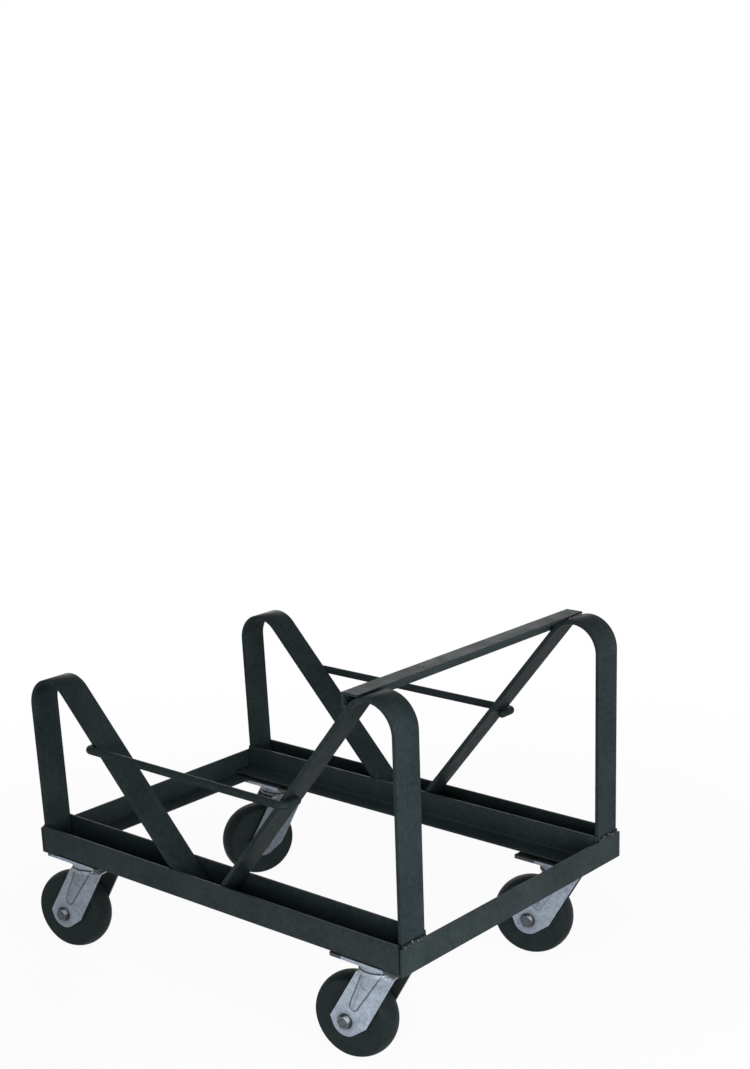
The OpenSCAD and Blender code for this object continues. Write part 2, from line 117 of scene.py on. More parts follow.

# Zinc plate: low, high and stained tones, then painted shade in hollows, in creases and on forks and nuts
ZINC_TONES = (rgb(0.168, 0.204, 0.252), rgb(0.345, 0.398, 0.482), rgb(0.096, 0.114, 0.138))
NUT_TONES = (rgb(0.037, 0.047, 0.055), rgb(0.093, 0.112, 0.129), rgb(0.023, 0.029, 0.034))
BOLT_TONES = (rgb(0.11, 0.125, 0.135), rgb(0.24, 0.26, 0.28), rgb(0.05, 0.055, 0.06))
ZINC_HOLLOW_SHADE, ZINC_CREASE_SHADE = rgb(0.03, 0.036, 0.038), rgb(0.02, 0.024, 0.026)
ZINC_SHADE = rgb(0.012, 0.016, 0.017)
ZINC_CLOUDS = Noise(60.0, 5.0, 0.65, swirl=0.6)
ZINC_SCUFFS = Noise(420.0, 3.0, 0.6, 0.63, 0.72, stretch=(1.0, 1.0, 0.12))
ZINC_STAINS = Noise(110.0, 5.0, 0.7, 0.6, 0.78, swirl=1.2)
ZINC_PITS = Noise(340.0, 3.0, 0.6)
ZINC_GRAIN, NUT_GRAIN = 330.0, 800.0
GRAIN_SHARE, ZINC_CLOUD_SHARE, ZINC_RANGE = 0.3, 0.9, (0.3, 0.95)
HOLLOW, FINE_CREASE = 0.05, 0.0025
ZINC_METAL = 0.35
ZINC_ROUGH, BOLT_ROUGH, WIPE_ROUGH = 0.46, 0.4, (0.1, -0.06)
PIT_BUMP, ZINC_WAVE_BUMP = (0.0003, 0.18), (0.001, 0.08)

# How brightly lit each fork's zinc is painted, as lit and shaded copies of one zinc, and how dark
# the painted shade in the crease and dent of its bulge is
ZINC_LIGHTING = {"front_left": 0.76, "front_right": 1.04, "rear_left": 0.38, "rear_right": 0.82}
CREASE_SHADE_SHARES = {"front_left": 1.0, "front_right": 1.0, "rear_left": 0.6, "rear_right": 0.45}

# The bulge pressed into each fork leg, from the axle: tip, tip radius, lean ahead and half angle
BULGE_TIP, BULGE_R = (0.0132, 0.0238), 0.0062
BULGE_LEAN, BULGE_CONE = math.radians(29.2), math.radians(5.9)
BULGE_FADE = 0.002
# Painted shade inside the bulge: its tone, its share and the most it may take
BULGE_SHADE_TONE, BULGE_SHARE, BULGE_MOST = rgb(0.12, 0.14, 0.155), 0.22, 0.5

# The crease round that bulge: a line of painted shade with a sunk bump, which wanders a little
CREASE_SHADE_TONE = rgb(0.024, 0.029, 0.032)
CREASE_WANDER = Noise(120.0, 3.0, 0.6, 0.2, 0.8)
CREASE_FADE, CREASE_STRAY, CREASE_BUMP = (0.00045, 0.0014), 0.0006, (0.0006, 0.7)

# The bowed dent across it, drawn as a line of painted shade: its height above the tip, half width and bow
DENT_SHADE_TONE = rgb(0.03, 0.036, 0.04)
DENT_UP, DENT_HALF, DENT_BOW = 0.0335, 0.0072, 45.0
DENT_FADE, DENT_END = (0.0004, 0.0012), 0.0018

# Painted light on a fork: painted shade round the nut and between the legs, a painted highlight in a band
# under the crown, and edges lighter as wear and painted highlight
NUT_R, RING_FADE, RING_SHARE = 0.0092, (0.0008, 0.0022), 0.85
WEAR_AND_HIGHLIGHT_TONE = rgb(0.6, 0.64, 0.68)
LIP_GLINTS = Noise(150.0, 4.0, 0.65, 0.42, 0.56)
LIP_FADE, LIP_SHARE = (0.0075, 0.0045), 0.4
FORK_EDGE, FORK_EDGE_SHARE = 0.0011, 0.5
INNER_FADE, INNER_SHARE = (0.0024, 0.0012), 0.92
INNER_TOP_FADE = (0.010, 0.018)

# Nuts and bolt heads: the face and its edge by depth, and the rim that faces ahead and up, which gets a
# painted highlight; their flanks get painted shade
NUT_CLOUDS = Noise(90.0, 4.0, 0.6)
NUT_PITS = Noise(500.0, 3.0, 0.6)
FACE_FADE, FACE_EDGE_FADE = (0.0009, 0.0001), (0.0011, 0.0004)
RIM_HIGHLIGHT = rgb(0.5, 0.54, 0.57)
RIM_FADE, RIM_AHEAD, RIM_UP = (0.0062, 0.0071), 0.6, 0.8
NUT_ROUGH, NUT_BUMP = (0.5, 0.36), (0.0003, 0.25)

# Top plates: how much is bare on either side of the middle, and the ragged edge of the paint
BARE = {"front_left": 0.0455, "front_right": 0.034, "rear_left": 0.034, "rear_right": 0.019}
SPRAY_EDGE = Noise(180.0, 4.0, 0.6)
SPRAY_WIPE = Noise(60.0, 5.0, 0.65)
SPRAY_FADE, SPRAY_RAGGED, SPRAY_ROUGH = (0.0014, 0.0026), 0.004, (0.54, 0.4)

# Wheels: dark and light tones, tread, dust and grease by distance from the axle, and turned rings
WHEEL_TONES = (rgb(0.0082, 0.0129, 0.0137), rgb(0.0123, 0.0178, 0.0188))
TREAD_TONE = rgb(0.0056, 0.0094, 0.0096)
WHEEL_DUST, WHEEL_GREASE = rgb(0.06, 0.068, 0.07), rgb(0.004, 0.005, 0.005)
WHEEL_CLOUDS = Noise(55.0, 5.0, 0.65, 0.3, 0.72)
WHEEL_SCUFFS = Noise(190.0, 6.0, 0.7, 0.52, 0.72)
WHEEL_GRAIN = Noise(1100.0, 2.0, 0.5)
TREAD_FADE, GREASE_FADE = (0.047, 0.0535), (0.0235, 0.0175)
SIDE_DUST, TREAD_DUST = 0.06, 0.12
WHEEL_GLOSS, WHEEL_ROUGH = 0.08, (0.55, 0.68)
TURNED_RINGS, TURNED_BUMP, GRAIN_BUMP = 5200.0, (0.00006, 0.25), (0.0002, 0.2)

# Rounded edges: their widths, and how the mesh is joined and flattened for them
RAIL_EDGE, TOP_RAIL_EDGE, BAR_EDGE = 0.0006, 0.0005, 0.0009
SHEET_EDGE, NUT_EDGE, WHEEL_EDGE = 0.0004, 0.0013, 0.0025
JOIN = 0.00001
FLAT_ANGLE, SHARP_ANGLE = math.radians(0.5), math.radians(40)


# Materials

class Nodes:
    """Short calls for the shader nodes that the materials share."""

    def __init__(self, tree):
        self.tree = tree
        self.coords = self.new("TexCoord").outputs
        self.place = self.coords["Object"]

    def new(self, kind, **inputs):
        """A new node with its inputs set by name, where _ stands for a space."""
        n = self.tree.nodes.new("ShaderNode" + kind)
        for name, value in inputs.items():
            self.put(n.inputs[name.replace("_", " ")], value)
        return n

    def put(self, socket, value):
        if isinstance(value, bpy.types.NodeSocket):
            self.tree.links.new(value, socket)
        else:
            socket.default_value = value

    def noise(self, kind):
        place = self.place
        if kind.stretch is not None:
            place = self.new("Mapping", Vector=place, Scale=kind.stretch).outputs["Vector"]
        n = self.new("TexNoise", Vector=place, Scale=kind.scale, Detail=kind.detail,
                     Roughness=kind.rough, Distortion=kind.swirl)
        return n.outputs["Fac"]

    def patches(self, kind, to_low=0.0, to_high=1.0, smooth=False):
        """Noise over the range of it that counts."""
        return self.span(self.noise(kind), kind.low, kind.high, to_low, to_high, smooth)

    def grain(self, scale):
        """A shade of its own for each small cell."""
        cells = self.new("TexVoronoi", Vector=self.place, Scale=scale)
        return self.new("SeparateColor", Color=cells.outputs["Color"]).outputs["Red"]

    def span(self, value, low, high, to_low=0.0, to_high=1.0, smooth=False):
        """A value carried from one range to another and held at its ends."""
        n = self.new("MapRange", Value=value, From_Min=low, From_Max=high, To_Min=to_low, To_Max=to_high)
        if smooth:
            n.interpolation_type = "SMOOTHSTEP"
        return n.outputs["Result"]

    def math(self, kind, a, b=0.0):
        n = self.new("Math")
        n.operation = kind
        self.put(n.inputs[0], a)
        self.put(n.inputs[1], b)
        return n.outputs[0]

    def add(self, a, b):
        return self.math("ADD", a, b)

    def minus(self, a, b):
        return self.math("SUBTRACT", a, b)

    def times(self, a, b):
        return self.math("MULTIPLY", a, b)

    def positive(self, a):
        return self.math("ABSOLUTE", a)

    def hypot(self, a, b):
        return self.math("SQRT", self.add(self.times(a, a), self.times(b, b)))

    def turn(self, a, b, angle):
        """A pair of lengths turned by an angle."""
        s, c = math.sin(angle), math.cos(angle)
        return self.minus(self.times(a, c), self.times(b, s)), self.add(self.times(a, s), self.times(b, c))

    def vector(self, kind, a, b=(0.0, 0.0, 0.0)):
        n = self.new("VectorMath")
        n.operation = kind
        self.put(n.inputs[0], a)
        self.put(n.inputs[1], b)
        return n.outputs

    def dot(self, a, b):
        return self.vector("DOT_PRODUCT", a, b)["Value"]

    def parts(self, vector):
        return self.new("SeparateXYZ", Vector=vector).outputs

    def normal(self):
        return self.new("NewGeometry").outputs["Normal"]

    def from_middle(self, middle):
        """How far a place is from a middle, along X."""
        return self.positive(self.minus(self.parts(self.place)["X"], middle))

    def mix(self, share, a, b):
        n = self.new("Mix")
        n.data_type = "RGBA"
        self.put(n.inputs["Factor"], share)
        for socket in n.inputs:
            if socket.type == "RGBA":
                self.put(socket, a if socket.name == "A" else b)
        return [s for s in n.outputs if s.type == "RGBA"][0]

    def tint(self, colour, other, mask, share):
        """A colour turned towards another by a share of a mask."""
        return self.mix(self.times(mask, share), colour, other)

    def edge(self, radius):
        """Near 1 along the edges and 0 on flat places."""
        bevel = self.new("Bevel", Radius=radius)
        bevel.samples = EDGE_RAYS
        return self.span(self.dot(bevel.outputs["Normal"], self.normal()), *EDGE_TURN)

    def crease(self, distance):
        """Near 1 down in the creases between surfaces and 0 in the open."""
        n = self.new("AmbientOcclusion", Distance=distance)
        n.samples = CREASE_RAYS
        return self.span(n.outputs["AO"], *CREASE_VIEW)

    def bump(self, height, distance, strength, normal=None):
        n = self.new("Bump", Height=height, Distance=distance, Strength=strength)
        if normal is not None:
            self.put(n.inputs["Normal"], normal)
        return n.outputs["Normal"]


def cleared(block, output):
    """The nodes of a material or world, cleared down to a new output, and that output's surface."""
    block.use_nodes = True
    block.node_tree.nodes.clear()
    n = Nodes(block.node_tree)
    return n, n.new(output).inputs["Surface"]


def new_material(name):
    mat = bpy.data.materials.new(name)
    n, surface = cleared(mat, "OutputMaterial")
    bsdf = n.new("BsdfPrincipled")
    n.put(surface, bsdf.outputs["BSDF"])
    return mat, n, bsdf.inputs


def dimmed(colour, share):
    return rgb(*(c * share for c in colour[:3]))


def toned(tones, share):
    return [dimmed(tone, share) for tone in tones]


def painted(n, dark, light, wear_and_highlight):
    """Colour of a cloudy coat of paint, lighter along its edges as wear and painted highlight,
    with painted shade in its corners.
    """
    cloud = n.patches(PAINT_CLOUDS, smooth=True)
    tone = n.add(n.times(cloud, CLOUD_SHARE), n.times(n.patches(PAINT_MOTTLE), MOTTLE_SHARE))
    colour = n.mix(tone, dark, light)
    # Lighter edges, partly wear and partly a painted highlight along them
    rubbed_and_lit = n.times(n.edge(PAINT_EDGE), n.patches(PAINT_CHIPS))
    colour = n.tint(colour, wear_and_highlight, rubbed_and_lit, share=0.55)
    colour = n.tint(colour, wear_and_highlight, n.patches(PAINT_SPECKS), share=0.35)
    # Painted shade in the corners, by how closed in each place is
    return n.tint(colour, PAINT_CORNER_SHADE, n.crease(PAINT_CORNER), share=0.55)


def paint(name, tones, rough, peel, gloss, seam=None, glint_flecks=0.0, underside_shade=0.0):
    """A coat of paint with a peeled skin.

    Where asked, it is black beyond a seam at a distance from the base's middle, shows bright flecks as
    painted glints, and is darker on its undersides as painted shade.
    """
    mat, n, shader = new_material(name)
    colour = painted(n, *tones)
    # Painted shade on the undersides, by how far the surface faces down
    if underside_shade > 0:
        downward = n.span(n.parts(n.normal())["Z"], UNDER_FROM, UNDER_TO, to_high=underside_shade)
        colour = n.mix(downward, colour, UNDERSIDE_SHADE)
    if seam is not None:
        beyond = n.span(n.from_middle(BASE_X), seam - SEAM_FADE[0], seam - SEAM_FADE[1], to_high=SEAM_SHARE)
        colour = n.mix(beyond, colour, SEAM_BLACK)
    # Bright flecks as painted glints
    if glint_flecks > 0:
        colour = n.mix(n.patches(GLINT_FLECKS, to_high=glint_flecks), colour, GLINT_TONE)
    n.put(shader["Base Color"], colour)
    n.put(shader["Roughness"], n.patches(PAINT_SMUDGES, rough + SMUDGE_ROUGH[0], rough + SMUDGE_ROUGH[1]))
    shader["Specular IOR Level"].default_value = gloss
    skin = n.bump(n.noise(PAINT_PEEL), PEEL_DEPTH, peel)
    n.put(shader["Normal"], n.bump(n.noise(PAINT_WAVES), *WAVE_BUMP, skin))
    return mat


def plated(n, low, high, dirt, grain):
    """Colour of zinc plate: a fine grain in soft clouds, scuffed and stained,
    with painted shade in its hollows and creases.
    """
    tone = n.add(n.times(n.grain(grain), GRAIN_SHARE), n.times(n.noise(ZINC_CLOUDS), ZINC_CLOUD_SHARE))
    colour = n.mix(n.span(tone, *ZINC_RANGE), low, high)
    colour = n.tint(colour, high, n.patches(ZINC_SCUFFS), share=0.35)
    colour = n.tint(colour, dirt, n.patches(ZINC_STAINS), share=0.6)
    # Painted shade in wide hollows and in fine creases
    colour = n.tint(colour, ZINC_HOLLOW_SHADE, n.crease(HOLLOW), share=0.85)
    return n.tint(colour, ZINC_CREASE_SHADE, n.crease(FINE_CREASE), share=0.9)


def pitted(n):
    return n.bump(n.noise(ZINC_PITS), *PIT_BUMP)


def wiped(n, shader, rough):
    """Gives zinc its cloudy gloss, and returns the clouds."""
    wipe = n.noise(ZINC_CLOUDS)
    dull, bright = rough + WIPE_ROUGH[0], rough + WIPE_ROUGH[1]
    n.put(shader["Roughness"], n.span(wipe, ZINC_CLOUDS.low, ZINC_CLOUDS.high, dull, bright))
    return wipe


def zinc(name, tones, rough, grain):
    """Plain zinc plate."""
    mat, n, shader = new_material(name)
    shader["Metallic"].default_value = ZINC_METAL
    n.put(shader["Base Color"], plated(n, *tones, grain))
    wipe = wiped(n, shader, rough)
    n.put(shader["Normal"], n.bump(wipe, *ZINC_WAVE_BUMP, pitted(n)))
    return mat


def bulge(n, along, height):
    """Where a place on a fork leg is by its bulge: height up it, distance off its middle, and reach."""
    across, up = n.turn(n.minus(along, BULGE_TIP[0]), n.minus(height, BULGE_TIP[1]), BULGE_LEAN)
    off = n.positive(across)
    flank, rise = n.turn(off, up, BULGE_CONE)
    tip = n.hypot(off, up)
    above = n.math("GREATER_THAN", rise, 0.0)
    return up, off, n.add(tip, n.times(above, n.minus(flank, tip)))


# A caster's axle, the way it leads, its axle's direction, how brightly lit its zinc is painted, and how
# dark the painted shade in its crease and dent is
Caster = namedtuple("Caster", "axle ahead axis dull pressed")


def fork_zinc(name, caster, outside, crown):
    """Zinc fork with painted shade in and round each leg's bulge, along its dent, round the nut and
    between the legs, a painted highlight under the crown, and edges lighter as wear and painted highlight.
    """
    mat, n, shader = new_material(name)
    shader["Metallic"].default_value = ZINC_METAL
    arm = n.vector("SUBTRACT", n.place, caster.axle)["Vector"]
    along = n.dot(arm, caster.ahead)
    side = n.positive(n.dot(arm, caster.axis))
    height = n.parts(arm)["Z"]
    up, off, reach = bulge(n, along, height)

    # The zinc is dimmed or brightened for each caster as painted light: lit and shaded copies of one zinc
    colour = plated(n, *toned(ZINC_TONES, caster.dull), ZINC_GRAIN)
    # A painted shadow in a ring round the nut
    around = n.minus(n.hypot(along, height), NUT_R)
    ring = n.span(around, *RING_FADE, RING_SHARE, 0.0, smooth=True)
    colour = n.mix(ring, colour, ZINC_SHADE)
    # Painted shade inside the bulge, stronger where the zinc is dimmed
    shaded = min(BULGE_MOST, BULGE_SHARE / caster.dull ** 2)
    inside = n.span(reach, BULGE_R, BULGE_R - BULGE_FADE, to_high=shaded, smooth=True)
    colour = n.mix(inside, colour, dimmed(BULGE_SHADE_TONE, caster.dull))
    # Painted shade along the crease round the bulge
    stray = n.patches(CREASE_WANDER, -CREASE_STRAY, CREASE_STRAY)
    gap = n.positive(n.add(n.minus(reach, BULGE_R), stray))
    crease = n.span(gap, *CREASE_FADE, 1.0, 0.0, smooth=True)
    colour = n.tint(colour, CREASE_SHADE_TONE, crease, share=0.85 * caster.pressed)
    # Painted shade along the dent
    bow = n.minus(up, n.times(n.times(off, off), DENT_BOW))
    dent = n.span(n.positive(n.minus(bow, DENT_UP)), *DENT_FADE, 1.0, 0.0, smooth=True)
    dent = n.times(dent, n.span(off, DENT_HALF, DENT_HALF - DENT_END))
    colour = n.tint(colour, DENT_SHADE_TONE, dent, share=0.7 * caster.pressed)
    # A painted highlight in a band under the crown, and edges lighter as wear and painted highlight
    lip = n.span(height, crown - LIP_FADE[0], crown - LIP_FADE[1], smooth=True)
    lip = n.times(lip, n.patches(LIP_GLINTS))
    rubbed_and_lit = n.math("MAXIMUM", n.times(lip, LIP_SHARE), n.times(n.edge(FORK_EDGE), FORK_EDGE_SHARE))
    colour = n.mix(rubbed_and_lit, colour, dimmed(WEAR_AND_HIGHLIGHT_TONE, caster.dull))
    # Painted shade on the inner faces of the legs, below the crown
    inner = n.span(side, outside - INNER_FADE[0], outside - INNER_FADE[1], INNER_SHARE, 0.0, smooth=True)
    below = n.span(height, crown - INNER_TOP_FADE[0], crown - INNER_TOP_FADE[1], smooth=True)
    colour = n.mix(n.times(inner, below), colour, ZINC_SHADE)

    n.put(shader["Base Color"], colour)
    wiped(n, shader, ZINC_ROUGH)
    sunk = n.span(crease, 0.0, 1.0, 1.0, 0.0)
    n.put(shader["Normal"], n.bump(sunk, *CREASE_BUMP, pitted(n)))
    return mat


def nut_zinc(name, caster, outside):
    """Dull zinc fastener with painted shade on its flanks, a plain face,
    and a painted highlight on the rim that faces ahead and up.
    """
    mat, n, shader = new_material(name)
    shader["Metallic"].default_value = ZINC_METAL
    arm = n.vector("SUBTRACT", n.place, caster.axle)["Vector"]
    side = n.positive(n.dot(arm, caster.axis))
    # Painted shade on the flanks; the face keeps the plated zinc
    face = n.span(side, outside - FACE_FADE[0], outside - FACE_FADE[1], smooth=True)
    # The nut's zinc is dimmed for each caster too, as painted light
    colour = n.mix(face, ZINC_SHADE, plated(n, *toned(NUT_TONES, caster.dull), NUT_GRAIN))
    # A painted highlight on the rim that faces ahead and up
    lit = n.dot(arm, caster.ahead * RIM_AHEAD + Z * RIM_UP)
    edge = n.span(side, outside - FACE_EDGE_FADE[0], outside - FACE_EDGE_FADE[1], smooth=True)
    rim_highlight = n.times(n.span(lit, *RIM_FADE, smooth=True), edge)
    colour = n.tint(colour, dimmed(RIM_HIGHLIGHT, caster.dull), rim_highlight, share=0.6)
    n.put(shader["Base Color"], colour)
    n.put(shader["Roughness"], n.patches(NUT_CLOUDS, *NUT_ROUGH))
    n.put(shader["Normal"], n.bump(n.noise(NUT_PITS), *NUT_BUMP))
    return mat


def sprayed_plate(name, middle, clean):
    """Zinc plate whose ends took the frame's paint: it is bare for a length on each side of its middle."""
    mat, n, shader = new_material(name)
    ragged = n.add(n.from_middle(middle), n.times(n.noise(SPRAY_EDGE), SPRAY_RAGGED))
    spray = n.span(ragged, clean + SPRAY_FADE[0], clean + SPRAY_FADE[1], smooth=True)
    colour = n.mix(spray, plated(n, *ZINC_TONES, ZINC_GRAIN), painted(n, *PAINT_TONES))
    n.put(shader["Base Color"], colour)
    n.put(shader["Metallic"], n.span(spray, 0.0, 1.0, ZINC_METAL, 0.0))
    n.put(shader["Roughness"], n.patches(SPRAY_WIPE, *SPRAY_ROUGH))
    n.put(shader["Normal"], pitted(n))
    return mat


def wheel_black(name, centre, axis):
    """Moulded black wheel: fine turned rings about its axle, a dark tread, dusty scuffs and grease."""
    mat, n, shader = new_material(name)
    arm = n.vector("SUBTRACT", n.place, centre)["Vector"]
    across = n.vector("CROSS_PRODUCT", arm, axis)["Vector"]
    radius = n.vector("LENGTH", across)["Value"]
    cloud = n.patches(WHEEL_CLOUDS, smooth=True)
    colour = n.mix(cloud, *WHEEL_TONES)
    tread = n.span(radius, *TREAD_FADE, smooth=True)
    colour = n.tint(colour, TREAD_TONE, tread, share=0.9)
    dust = n.times(n.add(n.times(tread, TREAD_DUST), SIDE_DUST), n.patches(WHEEL_SCUFFS))
    colour = n.mix(dust, colour, WHEEL_DUST)
    colour = n.tint(colour, WHEEL_GREASE, n.span(radius, *GREASE_FADE, smooth=True), share=0.55)
    n.put(shader["Base Color"], colour)
    n.put(shader["Roughness"], n.span(cloud, 0.0, 1.0, *WHEEL_ROUGH))
    shader["Specular IOR Level"].default_value = WHEEL_GLOSS
    rings = n.math("SINE", n.times(radius, TURNED_RINGS))
    grain = n.bump(n.noise(WHEEL_GRAIN), *GRAIN_BUMP)
    n.put(shader["Normal"], n.bump(rings, *TURNED_BUMP, grain))
    return mat


PAINT = paint("black_paint", PAINT_TONES, PAINT_ROUGH, PAINT_PEELED, PAINT_GLOSS)
HOOP_SHADED_PAINT = paint("black_hoop_paint_shaded", HOOP_SHADED_TONES, PAINT_ROUGH, PAINT_PEELED, HOOP_GLOSS, underside_shade=0.45)
SEAM_PAINT = paint("black_end_rail_paint", PAINT_TONES, PAINT_ROUGH, PAINT_PEELED, PAINT_GLOSS,
                   seam=RAIL_END)
BEAD_PAINT = paint("painted_weld", BEAD_TONES, BEAD_ROUGH, BEAD_PEELED, BEAD_GLOSS, glint_flecks=0.8)
ZINC = zinc("zinc_plate", ZINC_TONES, ZINC_ROUGH, ZINC_GRAIN)
BOLT = zinc("dull_zinc", BOLT_TONES, BOLT_ROUGH, NUT_GRAIN)


# Finishes of the CAD nodes

def dress(node, mat, width=0.0, segments=2):
    """Gives a CAD node its finish, and rounds its sharp edges a little."""
    obj = nodes[node]
    obj.data.materials.clear()
    obj.data.materials.append(mat)
    if width > 0:
        weld = obj.modifiers.new("join", "WELD")
        weld.merge_threshold = JOIN
        flat = obj.modifiers.new("flat", "DECIMATE")
        flat.decimate_type = "DISSOLVE"
        flat.angle_limit = FLAT_ANGLE
        bevel = obj.modifiers.new("edges", "BEVEL")
        bevel.width = width
        bevel.segments = segments
        bevel.limit_method = "ANGLE"
        bevel.angle_limit = SHARP_ANGLE
        bevel.harden_normals = True
        bevel.use_clamp_overlap = True


def reach_along(node, start, axis):
    """How far a node reaches from a point along an axis."""
    return max((v.co - start).dot(axis) for v in nodes[node].data.vertices)


def dress_caster(corner):
    pivot = Vector(joints[corner + "_swivel"]["pos_m"])
    axle, axis = Vector(joints[corner + "_roll"]["pos_m"]), Vector(joints[corner + "_roll"]["axis"])
    ahead = ((pivot - axle) * Vector((1, 1, 0))).normalized()
    caster = Caster(axle, ahead, axis, ZINC_LIGHTING[corner], CREASE_SHADE_SHARES[corner])
    plate = sprayed_plate(corner + "_plate", pivot.x, BARE[corner])
    dress(corner + "_top_plate", plate, SHEET_EDGE)
    outside = reach_along(corner + "_axle_sleeve", axle, axis) + FORK_T
    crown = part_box(corner + "_fork")[1].z - axle.z
    dress(corner + "_fork", fork_zinc(corner + "_fork_zinc", caster, outside, crown), SHEET_EDGE)
    dress(corner + "_kingpin", ZINC, SHEET_EDGE)
    dress(corner + "_lower_race", ZINC)
    for piece, finish, way in (("_axle_bolt", "_head_zinc", -axis), ("_axle_nut", "_nut_zinc", axis)):
        face = reach_along(corner + piece, axle, way)
        dress(corner + piece, nut_zinc(corner + finish, caster, face), NUT_EDGE, 4)
    for piece in ("_swivel_balls", "_axle_sleeve", "_wheel_bush"):
        dress(corner + piece, BOLT)
    dress(corner + "_wheel", wheel_black(corner + "_wheel_black", axle, axis), WHEEL_EDGE, 5)


for rail in ("left_side_rail", "right_side_rail", "front_inner_rail", "rear_inner_rail"):
    dress(rail, PAINT, RAIL_EDGE)
for rail in ("front_outer_rail", "rear_outer_rail"):
    dress(rail, SEAM_PAINT, RAIL_EDGE)
for rod in ("front_guard_rod", "rear_guard_rod"):
    dress(rod, HOOP_SHADED_PAINT)
dress("top_rail", PAINT, TOP_RAIL_EDGE)
dress("plate_packers", PAINT, SHEET_EDGE)
for corner in CORNERS:
    dress(corner + "_hoop", HOOP_SHADED_PAINT, BAR_EDGE, 3)
    dress_caster(corner)


# Weld beads: overlapping ripples along a seam, in place of the plain strips

BEAD_STEP, BEAD_PITCH, BEAD_ARC = 0.0004, 0.0021, 9
BEAD_LOW, BEAD_SWELL, BEAD_SWAY = 0.86, 0.2, 0.07
BEAD_TAPER, BEAD_TIP, BEAD_ROOT = 0.7, 0.02, 0.0002
BEAD_ROUND = 0.85

# How far each kind of weld reaches from its seam, where it starts and ends, and its first seed
POST_WELD_PAST, POST_WELD_LONGER, POST_SEED = 0.001, 0.0025, 3
TOP_WELD, TOP_WELD_IN, TOP_WELD_OUT, TOP_SEED = 0.0078, 0.002, 0.0015, 20
ROD_WELD, ROD_WELD_IN, ROD_WELD_OUT, ROD_SEED = 0.0042, 0.017, 0.001, 30
PLATE_WELD, PLATE_CORNER = 0.0032, 0.003


def bead(bm, start, end, side_a, side_b, reach, seed):
    """A rippled fillet from start to end, in the corner between the directions side_a and side_b."""
    rnd = random.Random(seed)
    run = end - start
    length = run.length
    steps = max(8, int(length / BEAD_STEP))
    sway = [rnd.uniform(-BEAD_SWAY, BEAD_SWAY) for _ in range(int(length / BEAD_PITCH) + 3)]
    turns = [math.pi / 2 * j / BEAD_ARC for j in range(1, BEAD_ARC)]
    bulging = [(math.cos(a) ** BEAD_ROUND, math.sin(a) ** BEAD_ROUND) for a in turns]
    profile = [(1.0, 0.0)] + bulging + [(0.0, 1.0)]
    rows = []
    for i in range(steps + 1):
        t = i / steps
        s = t * length
        ripple, k = math.modf(s / BEAD_PITCH)
        swell = BEAD_LOW + BEAD_SWELL * math.sqrt(max(0.0, 1.0 - ripple * ripple)) + sway[int(k)]
        taper = math.sqrt(max(0.0, min(s, length - s)) / (BEAD_TAPER * reach))
        size = reach * swell * min(1.0, taper + BEAD_TIP)
        at = start + run * t
        row = [bm.verts.new(at + (side_a * a + side_b * b) * size) for a, b in profile]
        row.append(bm.verts.new(at - (side_a + side_b) * BEAD_ROOT))
        rows.append(row)
    count = len(profile) + 1
    for a, b in zip(rows, rows[1:]):
        for j in range(count):
            bm.faces.new((a[j], a[(j + 1) % count], b[(j + 1) % count], b[j]))
    bm.faces.new(rows[0])
    bm.faces.new(list(reversed(rows[-1])))


def new_object(name, bm, mat):
    mesh = bpy.data.meshes.new(name)
    bm.to_mesh(mesh)
    bm.free()
    mesh.materials.append(mat)
    obj = bpy.data.objects.new(name, mesh)
    bpy.context.scene.collection.objects.link(obj)
    return obj


def make_piece(name, bm, mat, body):
    bmesh.ops.recalc_face_normals(bm, faces=bm.faces[:])
    obj = new_object(name, bm, mat)
    for face in obj.data.polygons:
        face.use_smooth = True
    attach(obj, body)
    return obj


def post_welds(bm):
    for sx in (-1, 1):
        lean = LEFT_LEAN if sx < 0 else 0.0
        up = Vector((sx * math.sin(lean), 0, math.cos(lean)))
        for sy in (-1, 1):
            y0, y1 = sorted((sy * BAR_IN, sy * BAR_OUT))
            low = Vector((BASE_X + sx * POST_X, y0 - POST_WELD_PAST, SIDE_TOP))
            high = low + Y * (y1 - y0 + POST_WELD_LONGER)
            bead(bm, low, high, X * sx, up, RAIL_OUT - POST_X, POST_SEED + sx + 4 * sy)


def top_rail_welds(bm):
    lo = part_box("top_rail")[0]
    down = Vector((-math.cos(RIGHT_SLOPE), 0, -math.sin(RIGHT_SLOPE)))
    for sy in (-1, 1):
        y0, y1 = sorted((sy * (BAR_IN + TOP_WELD_IN), sy * (BAR_OUT - TOP_WELD_OUT)))
        low = Vector((lo.x + TOP_RAIL_T, y0, lo.z))
        bead(bm, low, low + Y * (y1 - y0), down, Z, TOP_WELD, TOP_SEED + sy)


def rod_welds(bm):
    for end, sy in (("front", -1), ("rear", 1)):
        lo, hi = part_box(end + "_guard_rod")
        r = (hi.z - lo.z) / 2
        y0, y1 = sorted((sy * (BAR_OUT - ROD_WELD_IN), sy * (BAR_OUT - ROD_WELD_OUT)))
        for x, sx, slope in ((hi.x - r, 1, RIGHT_SLOPE), (lo.x + r, -1, LEFT_SLOPE)):
            off = Vector((-sx * math.sin(slope), 0, math.cos(slope)))
            along = Vector((sx * math.cos(slope), 0, math.sin(slope)))
            low = Vector((x, y0, lo.z + r)) + off * r
            high = low + Y * (y1 - y0)
            for way in (-1, 1):
                bead(bm, low, high, along * way, -off, ROD_WELD, ROD_SEED + 3 * sx + way + 8 * sy)


def plate_welds(bm):
    for corner in CORNERS:
        lo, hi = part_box(corner + "_top_plate")
        sx = 1 if corner.endswith("right") else -1
        low = Vector((hi.x if sx > 0 else lo.x, lo.y + PLATE_CORNER, hi.z))
        high = low + Y * (hi.y - lo.y - 2 * PLATE_CORNER)
        bead(bm, low, high, X * sx, -Z, PLATE_WELD, len(corner) + sx)


